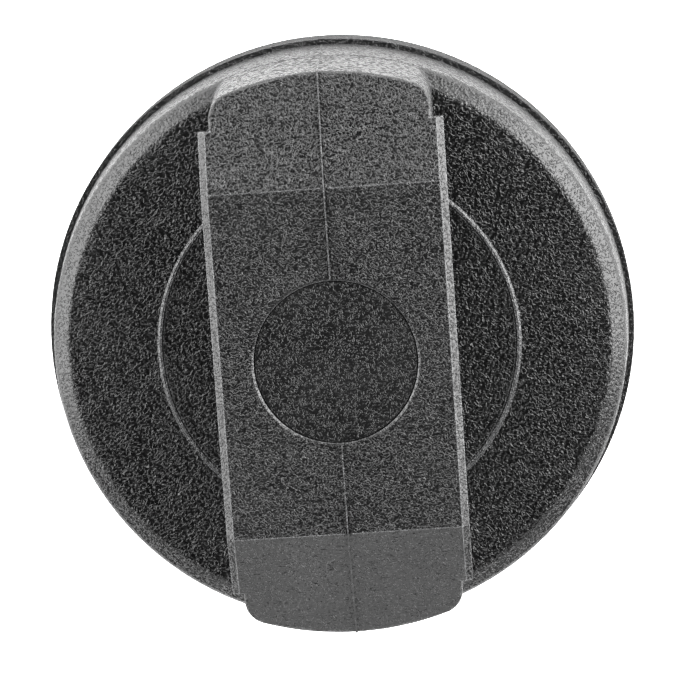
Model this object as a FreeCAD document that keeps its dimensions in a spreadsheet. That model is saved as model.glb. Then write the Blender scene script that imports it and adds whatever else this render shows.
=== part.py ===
"""Ratcheting screw cap for a vehicle fuel-tank filler neck.

Millimetres. The seal plane is z = 0, +Z points to the hand and the grip bar runs along Y.
"""
import FreeCAD
import Part
import Sketcher
import math
import os

SIZES = [
    # cover, as the hand sees it
    ("edge_r", "40.0", "radius at the outer edge of the front chamfer"),
    ("edge_z", "10.0", "height of that edge above the seal plane"),
    ("chamfer_w", "2.3", "width of the front chamfer"),
    ("chamfer_h", "1.5", "height of the front chamfer"),
    ("wall", "2.4", "wall of the cover moulding"),
    ("skirt_flare", "0.8", "how much the skirt wall grows to its foot"),
    ("skirt_foot_z", "0.4", "height of the foot of the skirt wall"),
    ("rim_out", "0.94", "how far the rim stands out from the skirt wall"),
    ("rim_h", "5.9", "height of the rim band"),
    ("witness_r", "24.9", "radius of the raised ring on the face"),
    ("witness_w", "0.8", "width of the raised ring at its foot"),
    ("witness_h", "0.16", "height of the raised ring"),
    # grip bar
    ("bar_w", "30.0", "width of the bar"),
    ("bar_h", "15.5", "height of the bar above the face"),
    ("bar_flat", "47.2", "length of the flat top"),
    ("bar_slope", "20.2", "slope of the bar towards its ends, degrees"),
    ("bar_corner_r", "3.4", "radius of the bar's upright corners"),
    ("bar_draft", "1.9", "how much the bar's ends lean in"),
    ("bar_inset", "0.03", "step from the skirt wall to the bar's ends"),
    ("bar_edge_r", "0.5", "rounding of the top edge at the bar's ends"),
    ("lip_out", "1.5", "overhang of the lip along each top edge"),
    ("lip_t", "1.6", "thickness of the lip"),
    ("lip_l", "63.6", "length of the lip"),
    ("lip_bevel_w", "0.95", "width of the bevel along the lip"),
    ("lip_bevel_h", "0.62", "height of the bevel along the lip"),
    ("seam_w", "0.26", "width of the mould seam"),
    ("seam_h", "0.12", "height of the mould seam"),
    ("recess_r", "11.1", "radius of the recess in the bar"),
    ("recess_d", "1.6", "depth of the recess"),
    ("recess_edge", "0.3", "width of the chamfer round the mouth of the recess"),
    ("disc_t", "1.2", "thickness of the blanking disc"),
    ("disc_gap", "0.04", "clearance round the blanking disc"),
    ("peg_r", "2.6", "radius of the disc's peg"),
    ("peg_l", "5.5", "length of the disc's peg"),
    ("rib_t", "1.6", "thickness of ribs"),
    # parts held in the cover
    ("skirt_in_r", "38.0", "inner radius of the skirt"),
    ("turn_gap", "0.3", "free gap between grip and plug"),
    ("guide_count", "12", "ribs that centre the flange"),
    ("tooth_count", "24", "ratchet teeth"),
    ("tooth_tip_r", "29.5", "radius at the tooth tips"),
    ("tooth_root_r", "31.2", "radius at the tooth roots"),
    ("tooth_back_r", "33.0", "outer radius of the tooth ring"),
    ("keeper_in_r", "32.2", "inner radius of the retaining ring"),
    ("keeper_t", "2.0", "thickness of the retaining ring"),
    ("bead_out", "0.6", "height of the snap bead"),
    ("washer_in_r", "10.5", "inner radius of the spring washer"),
    ("washer_out_r", "16.5", "outer radius of the spring washer"),
    ("washer_t", "0.7", "thickness of the spring washer"),
    # plug
    ("flange_r", "34.0", "radius of the plug's flange"),
    ("flange_t", "2.4", "thickness of the flange"),
    ("seal_t", "3.2", "height of the seal ring"),
    ("seal_in_r", "24.5", "inner radius of the seal ring"),
    ("seal_out_r", "31.4", "outer radius of the seal ring"),
    ("root_r", "22.4", "radius at the thread root"),
    ("thread_depth", "1.8", "depth of the thread"),
    ("thread_pitch", "5.0", "pitch of the thread"),
    ("thread_l", "12.5", "length of the thread"),
    ("thread_top_z", "-4.5", "height of the thread's upper end"),
    ("pilot_r", "21.0", "radius of the pilot below the thread"),
    ("plug_l", "33.0", "length of the plug below the seal plane"),
    ("throat_r", "17.0", "radius of the upper bore"),
    ("bore_r", "18.4", "radius of the lower bore"),
    ("step_z", "-12.0", "height of the step between the bores"),
    ("lid_r", "19.6", "radius of the lid"),
    ("lid_t", "1.6", "thickness of the lid"),
    ("pawl_ring_in_r", "20.6", "inner radius of the pawl ring"),
    ("pawl_ring_out_r", "24.6", "outer radius of the pawl ring's base"),
    ("pawl_count", "4", "pawls"),
    # valves
    ("fit_gap", "0.05", "radial clearance of a running or push fit"),
    ("housing_wall", "2.95", "wall of the valve housing"),
    ("housing_l", "18.0", "length of the valve housing"),
    ("floor_t", "2.0", "floor of the valve housing"),
    ("port_r", "5.6", "radius of the port in that floor"),
    ("seat_r", "6.9", "radius of the raised valve seat"),
    ("seat_w", "1.0", "width of the raised valve seat"),
    ("seat_h", "1.0", "height of the raised valve seat"),
    ("o_ring_wire_r", "0.9", "section radius of the O-ring"),
    ("plate_r", "10.5", "radius of the pressure plate"),
    ("plate_t", "2.0", "thickness of the pressure plate"),
    ("hub_r", "3.4", "radius of the plate's hub"),
    ("hub_h", "2.0", "height of the hub above the plate"),
    ("seal_disc_r", "9.0", "outer radius of the valve seal"),
    ("seal_disc_t", "1.4", "thickness of the valve seal"),
    ("cap_t", "1.8", "thickness of the spring cap"),
    ("cap_hole_r", "4.2", "radius of the hole in the spring cap"),
    ("spring_r", "8.6", "mean radius of the pressure spring"),
    ("spring_wire_r", "0.6", "wire radius of the pressure spring"),
    ("spring_turns", "4.0", "turns of the pressure spring"),
    ("stem_r", "2.0", "radius of the vacuum poppet's stem"),
    ("stem_top_z", "-16.2", "height of the stem's end"),
    ("poppet_r", "4.6", "radius of the vacuum poppet"),
    ("poppet_t", "1.2", "thickness of the vacuum poppet"),
    ("clip_r", "3.6", "radius of the stem clip"),
    ("clip_t", "0.8", "thickness of the stem clip"),
    ("clip_groove", "0.5", "depth of the clip's groove"),
    ("small_spring_r", "2.8", "mean radius of the vacuum spring"),
    ("small_wire_r", "0.25", "wire radius of the vacuum spring"),
    ("small_turns", "3.5", "turns of the vacuum spring"),
    ("guard_wall", "1.6", "wall of the splash guard"),
    ("guard_floor", "1.6", "floor of the splash guard"),
    ("guard_slots", "6", "openings in the splash guard"),
    ("filter_t", "0.6", "thickness of the filter disc"),
]

doc = FreeCAD.newDocument("filler_cap")
sheet = doc.addObject("Spreadsheet::Sheet", "sizes")
for row, (alias, number, meaning) in enumerate(SIZES, start=1):
    sheet.set("A%d" % row, meaning)
    sheet.set("B%d" % row, number)
    sheet.setAlias("B%d" % row, alias)
doc.recompute()

# Heights and radii that follow from the sizes, as expressions.
FACE_Z = "(sizes.edge_z + sizes.chamfer_h)"
UNDER_Z = "(sizes.edge_z + sizes.chamfer_h - sizes.wall)"
TOP_Z = "(sizes.edge_z + sizes.chamfer_h + sizes.bar_h)"
FOOT_R = "(sizes.edge_r + sizes.skirt_flare)"
RIM_Z = "(sizes.skirt_foot_z - sizes.rim_h)"
END_R = "(sizes.edge_r - sizes.bar_draft)"
BAR_FOOT_Z = "(sizes.edge_z - 0.8)"
HALF_FLAT = "(sizes.bar_flat / 2)"
RECESS_Z = "(%s - sizes.recess_d)" % TOP_Z
FLANGE_TOP_Z = "(sizes.seal_t + sizes.flange_t)"
KEEPER_TOP_Z = "(sizes.seal_t - sizes.turn_gap)"
KEEPER_Z = "(sizes.seal_t - sizes.turn_gap - sizes.keeper_t)"
BOTTOM_Z = "(-sizes.plug_l)"
HOUSING_Z = "(sizes.step_z - sizes.housing_l)"
HOUSING_R = "(sizes.bore_r - sizes.fit_gap)"
HOUSING_IN_R = "(%s - sizes.housing_wall)" % HOUSING_R
SEAT_Z = "(%s + sizes.floor_t + sizes.seat_h)" % HOUSING_Z
PLATE_Z = "(%s + sizes.seal_disc_t)" % SEAT_Z
PLATE_TOP_Z = "(%s + sizes.plate_t)" % PLATE_Z
HUB_TOP_Z = "(%s + sizes.hub_h)" % PLATE_TOP_Z
CAP_TOP_Z = "(sizes.step_z - 0.6)"
CAP_Z = "(%s - sizes.cap_t)" % CAP_TOP_Z
CLIP_TOP_Z = "(sizes.stem_top_z - 0.5)"
CLIP_Z = "(%s - sizes.clip_t)" % CLIP_TOP_Z


def slope_z(reach):
    """Height of the bar's sloped top at a distance from the middle."""
    return "(%s - (%s - %s) * tan(sizes.bar_slope))" % (TOP_Z, reach, HALF_FLAT)


def new_body(name):
    body = doc.addObject("PartDesign::Body", name)
    body.Label = name
    return body


def origin_item(body, role):
    return [item for item in body.Origin.OriginFeatures if item.Role == role][0]


def new_sketch(body, name, role, height):
    sketch = body.newObject("Sketcher::SketchObject", name)
    sketch.AttachmentSupport = [(origin_item(body, role), "")]
    sketch.MapMode = "FlatFace"
    if height is not None:
        sketch.setExpression("AttachmentOffset.Base.z", height)
    return sketch


def bind(sketch, constraint, expression):
    index = sketch.addConstraint(constraint)
    sketch.setExpression("Constraints[%d]" % index, expression)


def outline(body, name, role, points, height=None):
    """Closed polygon through points given as pairs of expressions."""
    sketch = new_sketch(body, name, role, height)
    count = len(points)
    turn = 2 * math.pi / count
    start = [FreeCAD.Vector(9 * math.cos(turn * i), 9 * math.sin(turn * i), 0) for i in range(count)]
    for i in range(count):
        sketch.addGeometry(Part.LineSegment(start[i], start[(i + 1) % count]), False)
    for i in range(count):
        sketch.addConstraint(Sketcher.Constraint("Coincident", i, 2, (i + 1) % count, 1))
    for i, (across, up) in enumerate(points):
        bind(sketch, Sketcher.Constraint("DistanceX", -1, 1, i, 1, start[i].x), across)
        bind(sketch, Sketcher.Constraint("DistanceY", -1, 1, i, 1, start[i].y), up)
    return sketch


def circle(body, name, role, across, up, radius, height=None):
    """Circle with its centre and radius given as expressions."""
    sketch = new_sketch(body, name, role, height)
    middle = FreeCAD.Vector(5, 1, 0)
    sketch.addGeometry(Part.Circle(middle, FreeCAD.Vector(0, 0, 1), 1), False)
    bind(sketch, Sketcher.Constraint("DistanceX", -1, 1, 0, 3, middle.x), across)
    bind(sketch, Sketcher.Constraint("DistanceY", -1, 1, 0, 3, middle.y), up)
    bind(sketch, Sketcher.Constraint("Radius", 0, 1), radius)
    return sketch


def turned(body, name, sketch, kind="PartDesign::Revolution"):
    """Full turn of a sketch about the vertical axis."""
    feature = body.newObject(kind, name)
    feature.Profile = sketch
    feature.ReferenceAxis = (sketch, ["V_Axis"])
    feature.Angle = 360
    sketch.Visibility = False
    return feature


def lathe(body, name, points, kind="PartDesign::Revolution"):
    return turned(body, name, outline(body, name + "_profile", "XZ_Plane", points), kind)


def extruded(body, name, sketch, length, symmetric=False, kind="PartDesign::Pad"):
    """Pad upwards or pocket downwards from a sketch."""
    feature = body.newObject(kind, name)
    feature.Profile = sketch
    feature.setExpression("Length", length)
    if symmetric:
        feature.SideType = "Symmetric"
    sketch.Visibility = False
    return feature


def polar(body, feature, count):
    """Repeat a feature round the vertical axis."""
    pattern = body.newObject("PartDesign::PolarPattern", feature.Name + "_round")
    pattern.Originals = [feature]
    pattern.Axis = (origin_item(body, "Z_Axis"), [""])
    pattern.Angle = 360
    pattern.setExpression("Occurrences", count)
    body.Tip = pattern
    return pattern


def helix(body, name, sketch, pitch, rise):
    """Helical sweep of a sketch about the vertical axis."""
    feature = body.newObject("PartDesign::AdditiveHelix", name)
    feature.Profile = sketch
    feature.ReferenceAxis = (sketch, ["V_Axis"])
    feature.Mode = "pitch-height-angle"
    feature.setExpression("Pitch", pitch)
    feature.setExpression("Height", rise)
    sketch.Visibility = False
    return feature


def picked(base, wanted):
    """Names of the edges of a feature that a test of their midpoint picks."""
    doc.recompute()
    names = []
    for index, edge in enumerate(base.Shape.Edges, start=1):
        middle = edge.valueAt((edge.FirstParameter + edge.LastParameter) / 2)
        if wanted(middle, edge):
            names.append("Edge%d" % index)
    return names


def rounded(body, name, base, wanted, radius):
    """Fillet the picked edges of a feature."""
    names = picked(base, wanted)
    feature = body.newObject("PartDesign::Fillet", name)
    feature.Base = (base, names)
    feature.setExpression("Radius", radius)
    return feature


def bevelled(body, name, base, wanted, first, second):
    """Chamfer the picked edges of a feature by two distances."""
    names = picked(base, wanted)
    feature = body.newObject("PartDesign::Chamfer", name)
    feature.Base = (base, names)
    feature.ChamferType = "Two distances"
    feature.setExpression("Size", first)
    feature.setExpression("Size2", second)
    return feature


def size(alias):
    return float(sheet.get(alias))


def make_guides(body):
    """Ribs inside the skirt that centre the plug's flange."""
    guide_in = "sizes.flange_r + sizes.turn_gap"
    guide = outline(body, "guide_plan", "XY_Plane", [
        (guide_in, "-sizes.rib_t / 2"),
        ("sizes.skirt_in_r + 0.3", "-sizes.rib_t / 2"),
        ("sizes.skirt_in_r + 0.3", "sizes.rib_t / 2"),
        (guide_in, "sizes.rib_t / 2"),
    ], KEEPER_TOP_Z)
    guide_rib = extruded(body, "guide", guide, "%s + 0.3 - %s" % (UNDER_Z, KEEPER_TOP_Z))
    return polar(body, guide_rib, "sizes.guide_count")


def make_cover_shell(body):
    """Disc, rounded front chamfer, skirt, rim and the bead that holds the retaining ring."""
    ring = "sizes.witness_r"
    lathe(body, "shell", [
        ("0", FACE_Z),
        (ring + " - sizes.witness_w / 2", FACE_Z),
        (ring + " - 0.15", FACE_Z + " + sizes.witness_h"),
        (ring + " + 0.15", FACE_Z + " + sizes.witness_h"),
        (ring + " + sizes.witness_w / 2", FACE_Z),
        ("sizes.edge_r - sizes.chamfer_w", FACE_Z),
        ("sizes.edge_r", "sizes.edge_z"),
        (FOOT_R, "sizes.skirt_foot_z"),
        (FOOT_R + " - 0.35", "sizes.skirt_foot_z"),
        (FOOT_R + " - 0.35", "sizes.skirt_foot_z - 0.35"),
        (FOOT_R + " + sizes.rim_out - 0.15", "sizes.skirt_foot_z - 0.35"),
        (FOOT_R + " + sizes.rim_out", RIM_Z),
        (FOOT_R + " - 1.6", RIM_Z),
        (FOOT_R + " - 1.6", KEEPER_Z + " - 1.4"),
        ("sizes.skirt_in_r", KEEPER_Z + " - 1.0"),
        ("sizes.skirt_in_r", KEEPER_Z + " - 0.7"),
        ("sizes.skirt_in_r - sizes.bead_out", KEEPER_Z + " - 0.2"),
        ("sizes.skirt_in_r - sizes.bead_out", KEEPER_Z),
        ("sizes.skirt_in_r", KEEPER_Z),
        ("sizes.skirt_in_r", UNDER_Z),
        ("0", UNDER_Z),
    ])
    make_guides(body)
    front = size("edge_z")
    inner = size("edge_r") - size("chamfer_w")
    lowest = front - 0.01

    def chamfer_edge(point, edge):
        reach = math.hypot(point.x, point.y)
        return edge.Length > 50 and reach > inner - 0.01 and point.z > lowest

    return rounded(body, "chamfer_round", body.Tip, chamfer_edge, "sizes.chamfer_h * 0.8")


def make_bar_blank():
    """Raised bar with sloped ends and lips, joined to the cover later."""
    body = new_body("bar_blank")
    reach = "(sizes.edge_r + 5)"
    side = outline(body, "bar_side", "YZ_Plane", [
        ("-" + reach, BAR_FOOT_Z),
        (reach, BAR_FOOT_Z),
        (reach, slope_z(reach)),
        (HALF_FLAT, TOP_Z),
        ("-" + HALF_FLAT, TOP_Z),
        ("-" + reach, slope_z(reach)),
    ])
    extruded(body, "bar", side, "sizes.bar_w", True)
    trim = lathe(body, "bar_ends", [
        ("sizes.edge_r - sizes.bar_inset", BAR_FOOT_Z),
        (END_R, TOP_Z + " + 1"),
        ("sizes.edge_r + 20", TOP_Z + " + 1"),
        ("sizes.edge_r + 20", BAR_FOOT_Z),
    ], "PartDesign::Groove")
    half = size("bar_w") / 2
    middle_z = size("edge_z") + 1

    def corner(point, edge):
        upright = abs(edge.tangentAt(edge.FirstParameter).z) > 0.9
        return upright and abs(abs(point.x) - half) < 0.3 and point.z > middle_z

    corners = rounded(body, "bar_corners", trim, corner, "sizes.bar_corner_r")
    flat, top = size("bar_flat") / 2, size("edge_z") + size("chamfer_h") + size("bar_h")
    fall = math.tan(math.radians(size("bar_slope")))

    def end_edge(point, edge):
        on_slope = abs(top - (abs(point.y) - flat) * fall - point.z) < 0.3
        return on_slope and abs(point.y) > flat + 0.5

    rounded(body, "bar_end_rounds", corners, end_edge, "sizes.bar_edge_r")
    make_lips(body)
    return body


def make_lips(body):
    """Overhanging lip along both top edges of the bar."""
    end = "(sizes.lip_l / 2)"
    drop = " - sizes.lip_t"
    band = outline(body, "lip_side", "YZ_Plane", [
        ("-" + end, slope_z(end) + drop),
        ("-" + HALF_FLAT, TOP_Z + drop),
        (HALF_FLAT, TOP_Z + drop),
        (end, slope_z(end) + drop),
        (end, slope_z(end)),
        (HALF_FLAT, TOP_Z),
        ("-" + HALF_FLAT, TOP_Z),
        ("-" + end, slope_z(end)),
    ])
    lips = extruded(body, "lips", band, "sizes.bar_w + 2 * sizes.lip_out", True)
    outer = size("bar_w") / 2 + size("lip_out")

    lowest = size("lip_t") / 2
    flat, top = size("bar_flat") / 2, size("edge_z") + size("chamfer_h") + size("bar_h")
    fall = math.tan(math.radians(size("bar_slope")))

    def lip_edge(point, edge):
        surface = top - max(abs(point.y) - flat, 0) * fall
        return abs(abs(point.x) - outer) < 0.01 and edge.Length > 5 and point.z > surface - lowest

    return bevelled(body, "lip_bevels", lips, lip_edge, "sizes.lip_bevel_h", "sizes.lip_bevel_w")


def make_seam(body):
    """Fine raised mould seam over the bar, its ends and the skirt wall."""
    end = "(sizes.edge_r - sizes.bar_inset - sizes.bar_draft * 0.65)"
    inside = "sizes.edge_r - 1.2"
    path = [
        (FOOT_R + " - 0.02 + sizes.seam_h", "sizes.skirt_foot_z + 0.2"),
        ("sizes.edge_r + sizes.seam_h", "sizes.edge_z"),
        (end + " + sizes.seam_h", slope_z(end) + " + sizes.seam_h"),
        (HALF_FLAT, TOP_Z + " + sizes.seam_h"),
    ]
    back = [
        (HALF_FLAT, TOP_Z + " - 0.6"),
        (inside, slope_z("(%s)" % inside) + " - 0.6"),
        (inside, "sizes.skirt_foot_z + 0.2"),
    ]
    points = path + [("-(%s)" % y, z) for y, z in reversed(path)]
    points += [("-(%s)" % y, z) for y, z in reversed(back)] + back
    return extruded(body, "seam", outline(body, "seam_side", "YZ_Plane", points), "sizes.seam_w", True)


def make_underside(body):
    """Hollow of the bar, the seat of the blanking disc and cross ribs."""
    end = "(sizes.edge_r - 2 * sizes.wall)"
    inner_top = TOP_Z + " - sizes.wall"
    hollow = outline(body, "hollow_side", "YZ_Plane", [
        ("-" + end, UNDER_Z + " - 1"),
        (end, UNDER_Z + " - 1"),
        (end, slope_z(end) + " - 1.06 * sizes.wall"),
        (HALF_FLAT + " - 0.4", inner_top),
        ("-(%s - 0.4)" % HALF_FLAT, inner_top),
        ("-" + end, slope_z(end) + " - 1.06 * sizes.wall"),
    ])
    extruded(body, "hollow", hollow, "sizes.bar_w - 2 * sizes.wall", True, "PartDesign::Pocket")
    seat_r = "sizes.bar_w / 2 - 0.75 * sizes.wall"
    seat_z = RECESS_Z + " - sizes.wall"
    lathe(body, "disc_seat", [
        ("0", inner_top + " + 0.2"),
        (seat_r, inner_top + " + 0.2"),
        (seat_r, seat_z),
        ("2 * sizes.peg_r", seat_z),
        ("1.8 * sizes.peg_r", RECESS_Z + " - sizes.peg_l"),
        ("0", RECESS_Z + " - sizes.peg_l"),
    ])
    half_x = "(sizes.bar_w / 2 - 0.75 * sizes.wall)"
    near = "(%s * 0.75)" % HALF_FLAT
    rib = outline(body, "rib_plan", "XY_Plane", [
        ("-" + half_x, near),
        (half_x, near),
        (half_x, near + " + sizes.rib_t"),
        ("-" + half_x, near + " + sizes.rib_t"),
    ], UNDER_Z)
    return polar(body, extruded(body, "rib", rib, "sizes.bar_h - 0.2"), "2")


def make_grip_cover():
    body = new_body("grip_cover")
    make_cover_shell(body)
    join = body.newObject("PartDesign::Boolean", "join")
    join.setObjects([make_bar_blank()])
    join.Type = "Fuse"
    make_underside(body)
    make_seam(body)
    mouth_r = "sizes.recess_r + sizes.recess_edge"
    lathe(body, "recess", [
        ("0", RECESS_Z),
        ("sizes.recess_r", RECESS_Z),
        ("sizes.recess_r", TOP_Z + " - 0.65 * sizes.recess_edge"),
        (mouth_r, TOP_Z),
        (mouth_r, TOP_Z + " + 1"),
        ("0", TOP_Z + " + 1"),
    ], "PartDesign::Groove")
    peg = circle(body, "peg_plan", "XY_Plane", "0", "0", "sizes.peg_r + sizes.fit_gap", TOP_Z)
    extruded(body, "peg_hole", peg, "sizes.bar_h", False, "PartDesign::Pocket")
    return body


def make_blank_disc():
    """Disc that closes the place where a lock would sit."""
    body = new_body("blank_disc")
    top = RECESS_Z + " + sizes.disc_t"
    edge = "sizes.recess_r - sizes.disc_gap"
    lathe(body, "disc", [
        ("0", top),
        (edge + " - 0.15", top),
        (edge, top + " - 0.15"),
        (edge, RECESS_Z),
        ("sizes.peg_r", RECESS_Z),
        ("sizes.peg_r", RECESS_Z + " - sizes.peg_l + 0.5"),
        ("sizes.peg_r - 0.5", RECESS_Z + " - sizes.peg_l"),
        ("0", RECESS_Z + " - sizes.peg_l"),
    ])
    return body


def make_tooth_ring():
    """Internal ratchet teeth, steep on the side that unscrews."""
    body = new_body("tooth_ring")
    low = FLANGE_TOP_Z + " + sizes.turn_gap"
    lathe(body, "ring", [
        ("sizes.tooth_tip_r", low),
        ("sizes.tooth_back_r", low),
        ("sizes.tooth_back_r", UNDER_Z),
        ("sizes.tooth_tip_r", UNDER_Z),
    ])
    inside = "sizes.tooth_tip_r - 1"
    gap = outline(body, "gap_plan", "XY_Plane", [
        (inside, "-0.4"),
        ("sizes.tooth_root_r", "-0.4"),
        ("sizes.tooth_root_r - 0.2", "0.8"),
        (inside, "0.2 * sizes.tooth_tip_r"),
    ], UNDER_Z + " + 1")
    cut = extruded(body, "gap", gap, UNDER_Z, False, "PartDesign::Pocket")
    polar(body, cut, "sizes.tooth_count")
    return body


def make_retaining_ring():
    """Ring that snaps into the skirt under the plug's flange."""
    body = new_body("retaining_ring")
    lathe(body, "ring", [
        ("sizes.keeper_in_r", KEEPER_Z),
        ("sizes.skirt_in_r", KEEPER_Z),
        ("sizes.skirt_in_r", KEEPER_TOP_Z + " - 0.6"),
        ("sizes.skirt_in_r - 0.6", KEEPER_TOP_Z),
        ("sizes.keeper_in_r", KEEPER_TOP_Z),
    ])
    notch = circle(body, "notch_plan", "XY_Plane", "sizes.skirt_in_r", "0", "1.2", KEEPER_TOP_Z + " + 1")
    cut = extruded(body, "notch", notch, "sizes.keeper_t + 2", False, "PartDesign::Pocket")
    polar(body, cut, "8")
    return body


def make_spring_washer():
    """Dished steel washer that keeps the grip from rattling."""
    body = new_body("spring_washer")
    low = FLANGE_TOP_Z + " + sizes.turn_gap"
    lathe(body, "dish", [
        ("sizes.washer_in_r", low),
        ("sizes.washer_out_r", UNDER_Z + " - sizes.washer_t"),
        ("sizes.washer_out_r", UNDER_Z),
        ("sizes.washer_out_r - 0.4", UNDER_Z),
        ("sizes.washer_in_r", low + " + sizes.washer_t"),
    ])
    return body


def make_plug_body():
    """Threaded plug with a flange, a pilot and a stepped bore."""
    body = new_body("plug_body")
    root_end = "(sizes.thread_top_z - sizes.thread_l - 3)"
    lathe(body, "barrel", [
        ("sizes.throat_r", FLANGE_TOP_Z + " - 3.2"),
        ("sizes.throat_r + 0.8", FLANGE_TOP_Z + " - sizes.lid_t"),
        ("sizes.lid_r", FLANGE_TOP_Z + " - sizes.lid_t"),
        ("sizes.lid_r", FLANGE_TOP_Z),
        ("sizes.flange_r - 0.5", FLANGE_TOP_Z),
        ("sizes.flange_r", FLANGE_TOP_Z + " - 0.5"),
        ("sizes.flange_r", "sizes.seal_t"),
        ("sizes.root_r", "sizes.seal_t"),
        ("sizes.root_r", root_end),
        ("sizes.pilot_r", root_end + " - 1.4"),
        ("sizes.pilot_r", BOTTOM_Z + " + 1"),
        ("sizes.pilot_r - 1", BOTTOM_Z),
        ("sizes.bore_r", BOTTOM_Z),
        ("sizes.bore_r", "sizes.step_z"),
        ("sizes.throat_r", "sizes.step_z"),
    ])
    crest = "sizes.root_r + sizes.thread_depth"
    low = "(sizes.thread_top_z - sizes.thread_l)"
    ridge = outline(body, "thread_section", "XZ_Plane", [
        ("sizes.root_r - 0.3", low + " - 1.25"),
        (crest, low + " - 0.55"),
        (crest, low + " + 0.55"),
        ("sizes.root_r - 0.3", low + " + 1.25"),
    ])
    helix(body, "thread", ridge, "sizes.thread_pitch", "sizes.thread_l")
    return body


def make_plug_lid():
    """Vented lid over the plug's bore."""
    body = new_body("plug_lid")
    under = FLANGE_TOP_Z + " - sizes.lid_t"
    lathe(body, "lid", [
        ("0", FLANGE_TOP_Z),
        ("sizes.lid_r", FLANGE_TOP_Z),
        ("sizes.lid_r", under),
        ("sizes.throat_r - 0.4", under),
        ("sizes.throat_r - 0.6", under + " - 1.8"),
        ("sizes.throat_r - 2", under + " - 1.8"),
        ("sizes.throat_r - 2", under),
        ("0", under),
    ])
    vent = circle(body, "vent_plan", "XY_Plane", "sizes.throat_r * 0.4", "0", "1.5", FLANGE_TOP_Z + " + 1")
    cut = extruded(body, "vent", vent, "sizes.lid_t + 2", False, "PartDesign::Pocket")
    polar(body, cut, "4")
    return body


def make_pawl_ring():
    """Ring with springy pawls that reach between the ratchet teeth."""
    body = new_body("pawl_ring")
    top = UNDER_Z + " - sizes.turn_gap"
    lathe(body, "base", [
        ("sizes.pawl_ring_in_r", FLANGE_TOP_Z),
        ("sizes.pawl_ring_out_r", FLANGE_TOP_Z),
        ("sizes.pawl_ring_out_r", top),
        ("sizes.pawl_ring_in_r", top),
    ])
    out = "sizes.pawl_ring_out_r"
    tip = "sizes.tooth_root_r"
    pawl = outline(body, "pawl_plan", "XY_Plane", [
        (out + " - 2.2", "7.2"),
        (out + " - 0.4", "8.8"),
        (tip + " - 0.7", "1.0"),
        (tip + " - 0.5", "-0.1"),
        (tip + " - 2.0", "-0.1"),
        (tip + " - 3.0", "1.6"),
    ], FLANGE_TOP_Z + " + sizes.turn_gap")
    arm = extruded(body, "pawl", pawl, "%s - %s - 2 * sizes.turn_gap" % (UNDER_Z, FLANGE_TOP_Z))
    polar(body, arm, "sizes.pawl_count")
    return body


def make_seal_ring():
    """Rubber gasket under the flange; it lands on the filler neck."""
    body = new_body("seal_ring")
    middle = "sizes.seal_t / 2"
    lathe(body, "gasket", [
        ("sizes.seal_in_r", "sizes.seal_t"),
        ("sizes.seal_out_r - 0.7", "sizes.seal_t"),
        ("sizes.seal_out_r", "sizes.seal_t - 0.7"),
        ("sizes.seal_out_r", middle),
        ("sizes.seal_out_r - 1.4", "0"),
        ("sizes.seal_in_r + 1", "0"),
        ("sizes.seal_in_r", middle),
    ])
    return body


def make_valve_housing():
    """Cup with the O-ring groove, the port and the raised valve seat."""
    body = new_body("valve_housing")
    groove = "%s - 2 * sizes.o_ring_wire_r + sizes.fit_gap" % HOUSING_R
    floor_z = HOUSING_Z + " + sizes.floor_t"
    lathe(body, "cup", [
        (HOUSING_IN_R, "sizes.step_z"),
        (HOUSING_R, "sizes.step_z"),
        (HOUSING_R, "sizes.step_z - 2.5"),
        (groove, "sizes.step_z - 2.5"),
        (groove, "sizes.step_z - 4.7"),
        (HOUSING_R, "sizes.step_z - 4.7"),
        (HOUSING_R, HOUSING_Z),
        ("sizes.port_r", HOUSING_Z),
        ("sizes.port_r", floor_z),
        ("sizes.seat_r - sizes.seat_w / 2", SEAT_Z),
        ("sizes.seat_r + sizes.seat_w / 2", SEAT_Z),
        ("sizes.seat_r + sizes.seat_w", floor_z),
        (HOUSING_IN_R, floor_z),
    ])
    return body


def make_housing_o_ring():
    body = new_body("housing_o_ring")
    wire = circle(body, "wire", "XZ_Plane", "sizes.bore_r - sizes.o_ring_wire_r", "sizes.step_z - 3.6",
                  "sizes.o_ring_wire_r")
    turned(body, "ring", wire)
    return body


def make_spring_cap():
    """Pressed cap that holds the pressure spring down."""
    body = new_body("spring_cap")
    lathe(body, "cap", [
        ("sizes.cap_hole_r", CAP_Z),
        (HOUSING_IN_R, CAP_Z),
        (HOUSING_IN_R, CAP_TOP_Z),
        ("sizes.spring_r + 2.4", CAP_TOP_Z),
        ("sizes.spring_r + 1.6", CAP_TOP_Z + " - 0.6"),
        ("sizes.cap_hole_r", CAP_TOP_Z + " - 0.6"),
    ])
    return body


def make_splash_guard():
    """Slotted cup under the valve."""
    body = new_body("splash_guard")
    inner = "(sizes.bore_r - sizes.guard_wall)"
    lathe(body, "cup", [
        ("0", BOTTOM_Z),
        ("sizes.bore_r", BOTTOM_Z),
        ("sizes.bore_r", HOUSING_Z),
        (inner, HOUSING_Z),
        (inner, BOTTOM_Z + " + sizes.guard_floor"),
        ("0", BOTTOM_Z + " + sizes.guard_floor"),
    ])
    slot = outline(body, "slot_plan", "XY_Plane", [
        ("4", "-1.1"),
        (inner + " - 2", "-2.4"),
        (inner + " - 2", "2.4"),
        ("4", "1.1"),
    ], BOTTOM_Z + " + sizes.guard_floor + 1")
    cut = extruded(body, "slot", slot, "sizes.guard_floor + 2", False, "PartDesign::Pocket")
    polar(body, cut, "sizes.guard_slots")
    return body


def make_filter_disc():
    body = new_body("filter_disc")
    low = BOTTOM_Z + " + sizes.guard_floor"
    lathe(body, "disc", [
        ("0", low),
        ("sizes.bore_r - sizes.guard_wall", low),
        ("sizes.bore_r - sizes.guard_wall", low + " + sizes.filter_t"),
        ("0", low + " + sizes.filter_t"),
    ])
    return body


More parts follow.
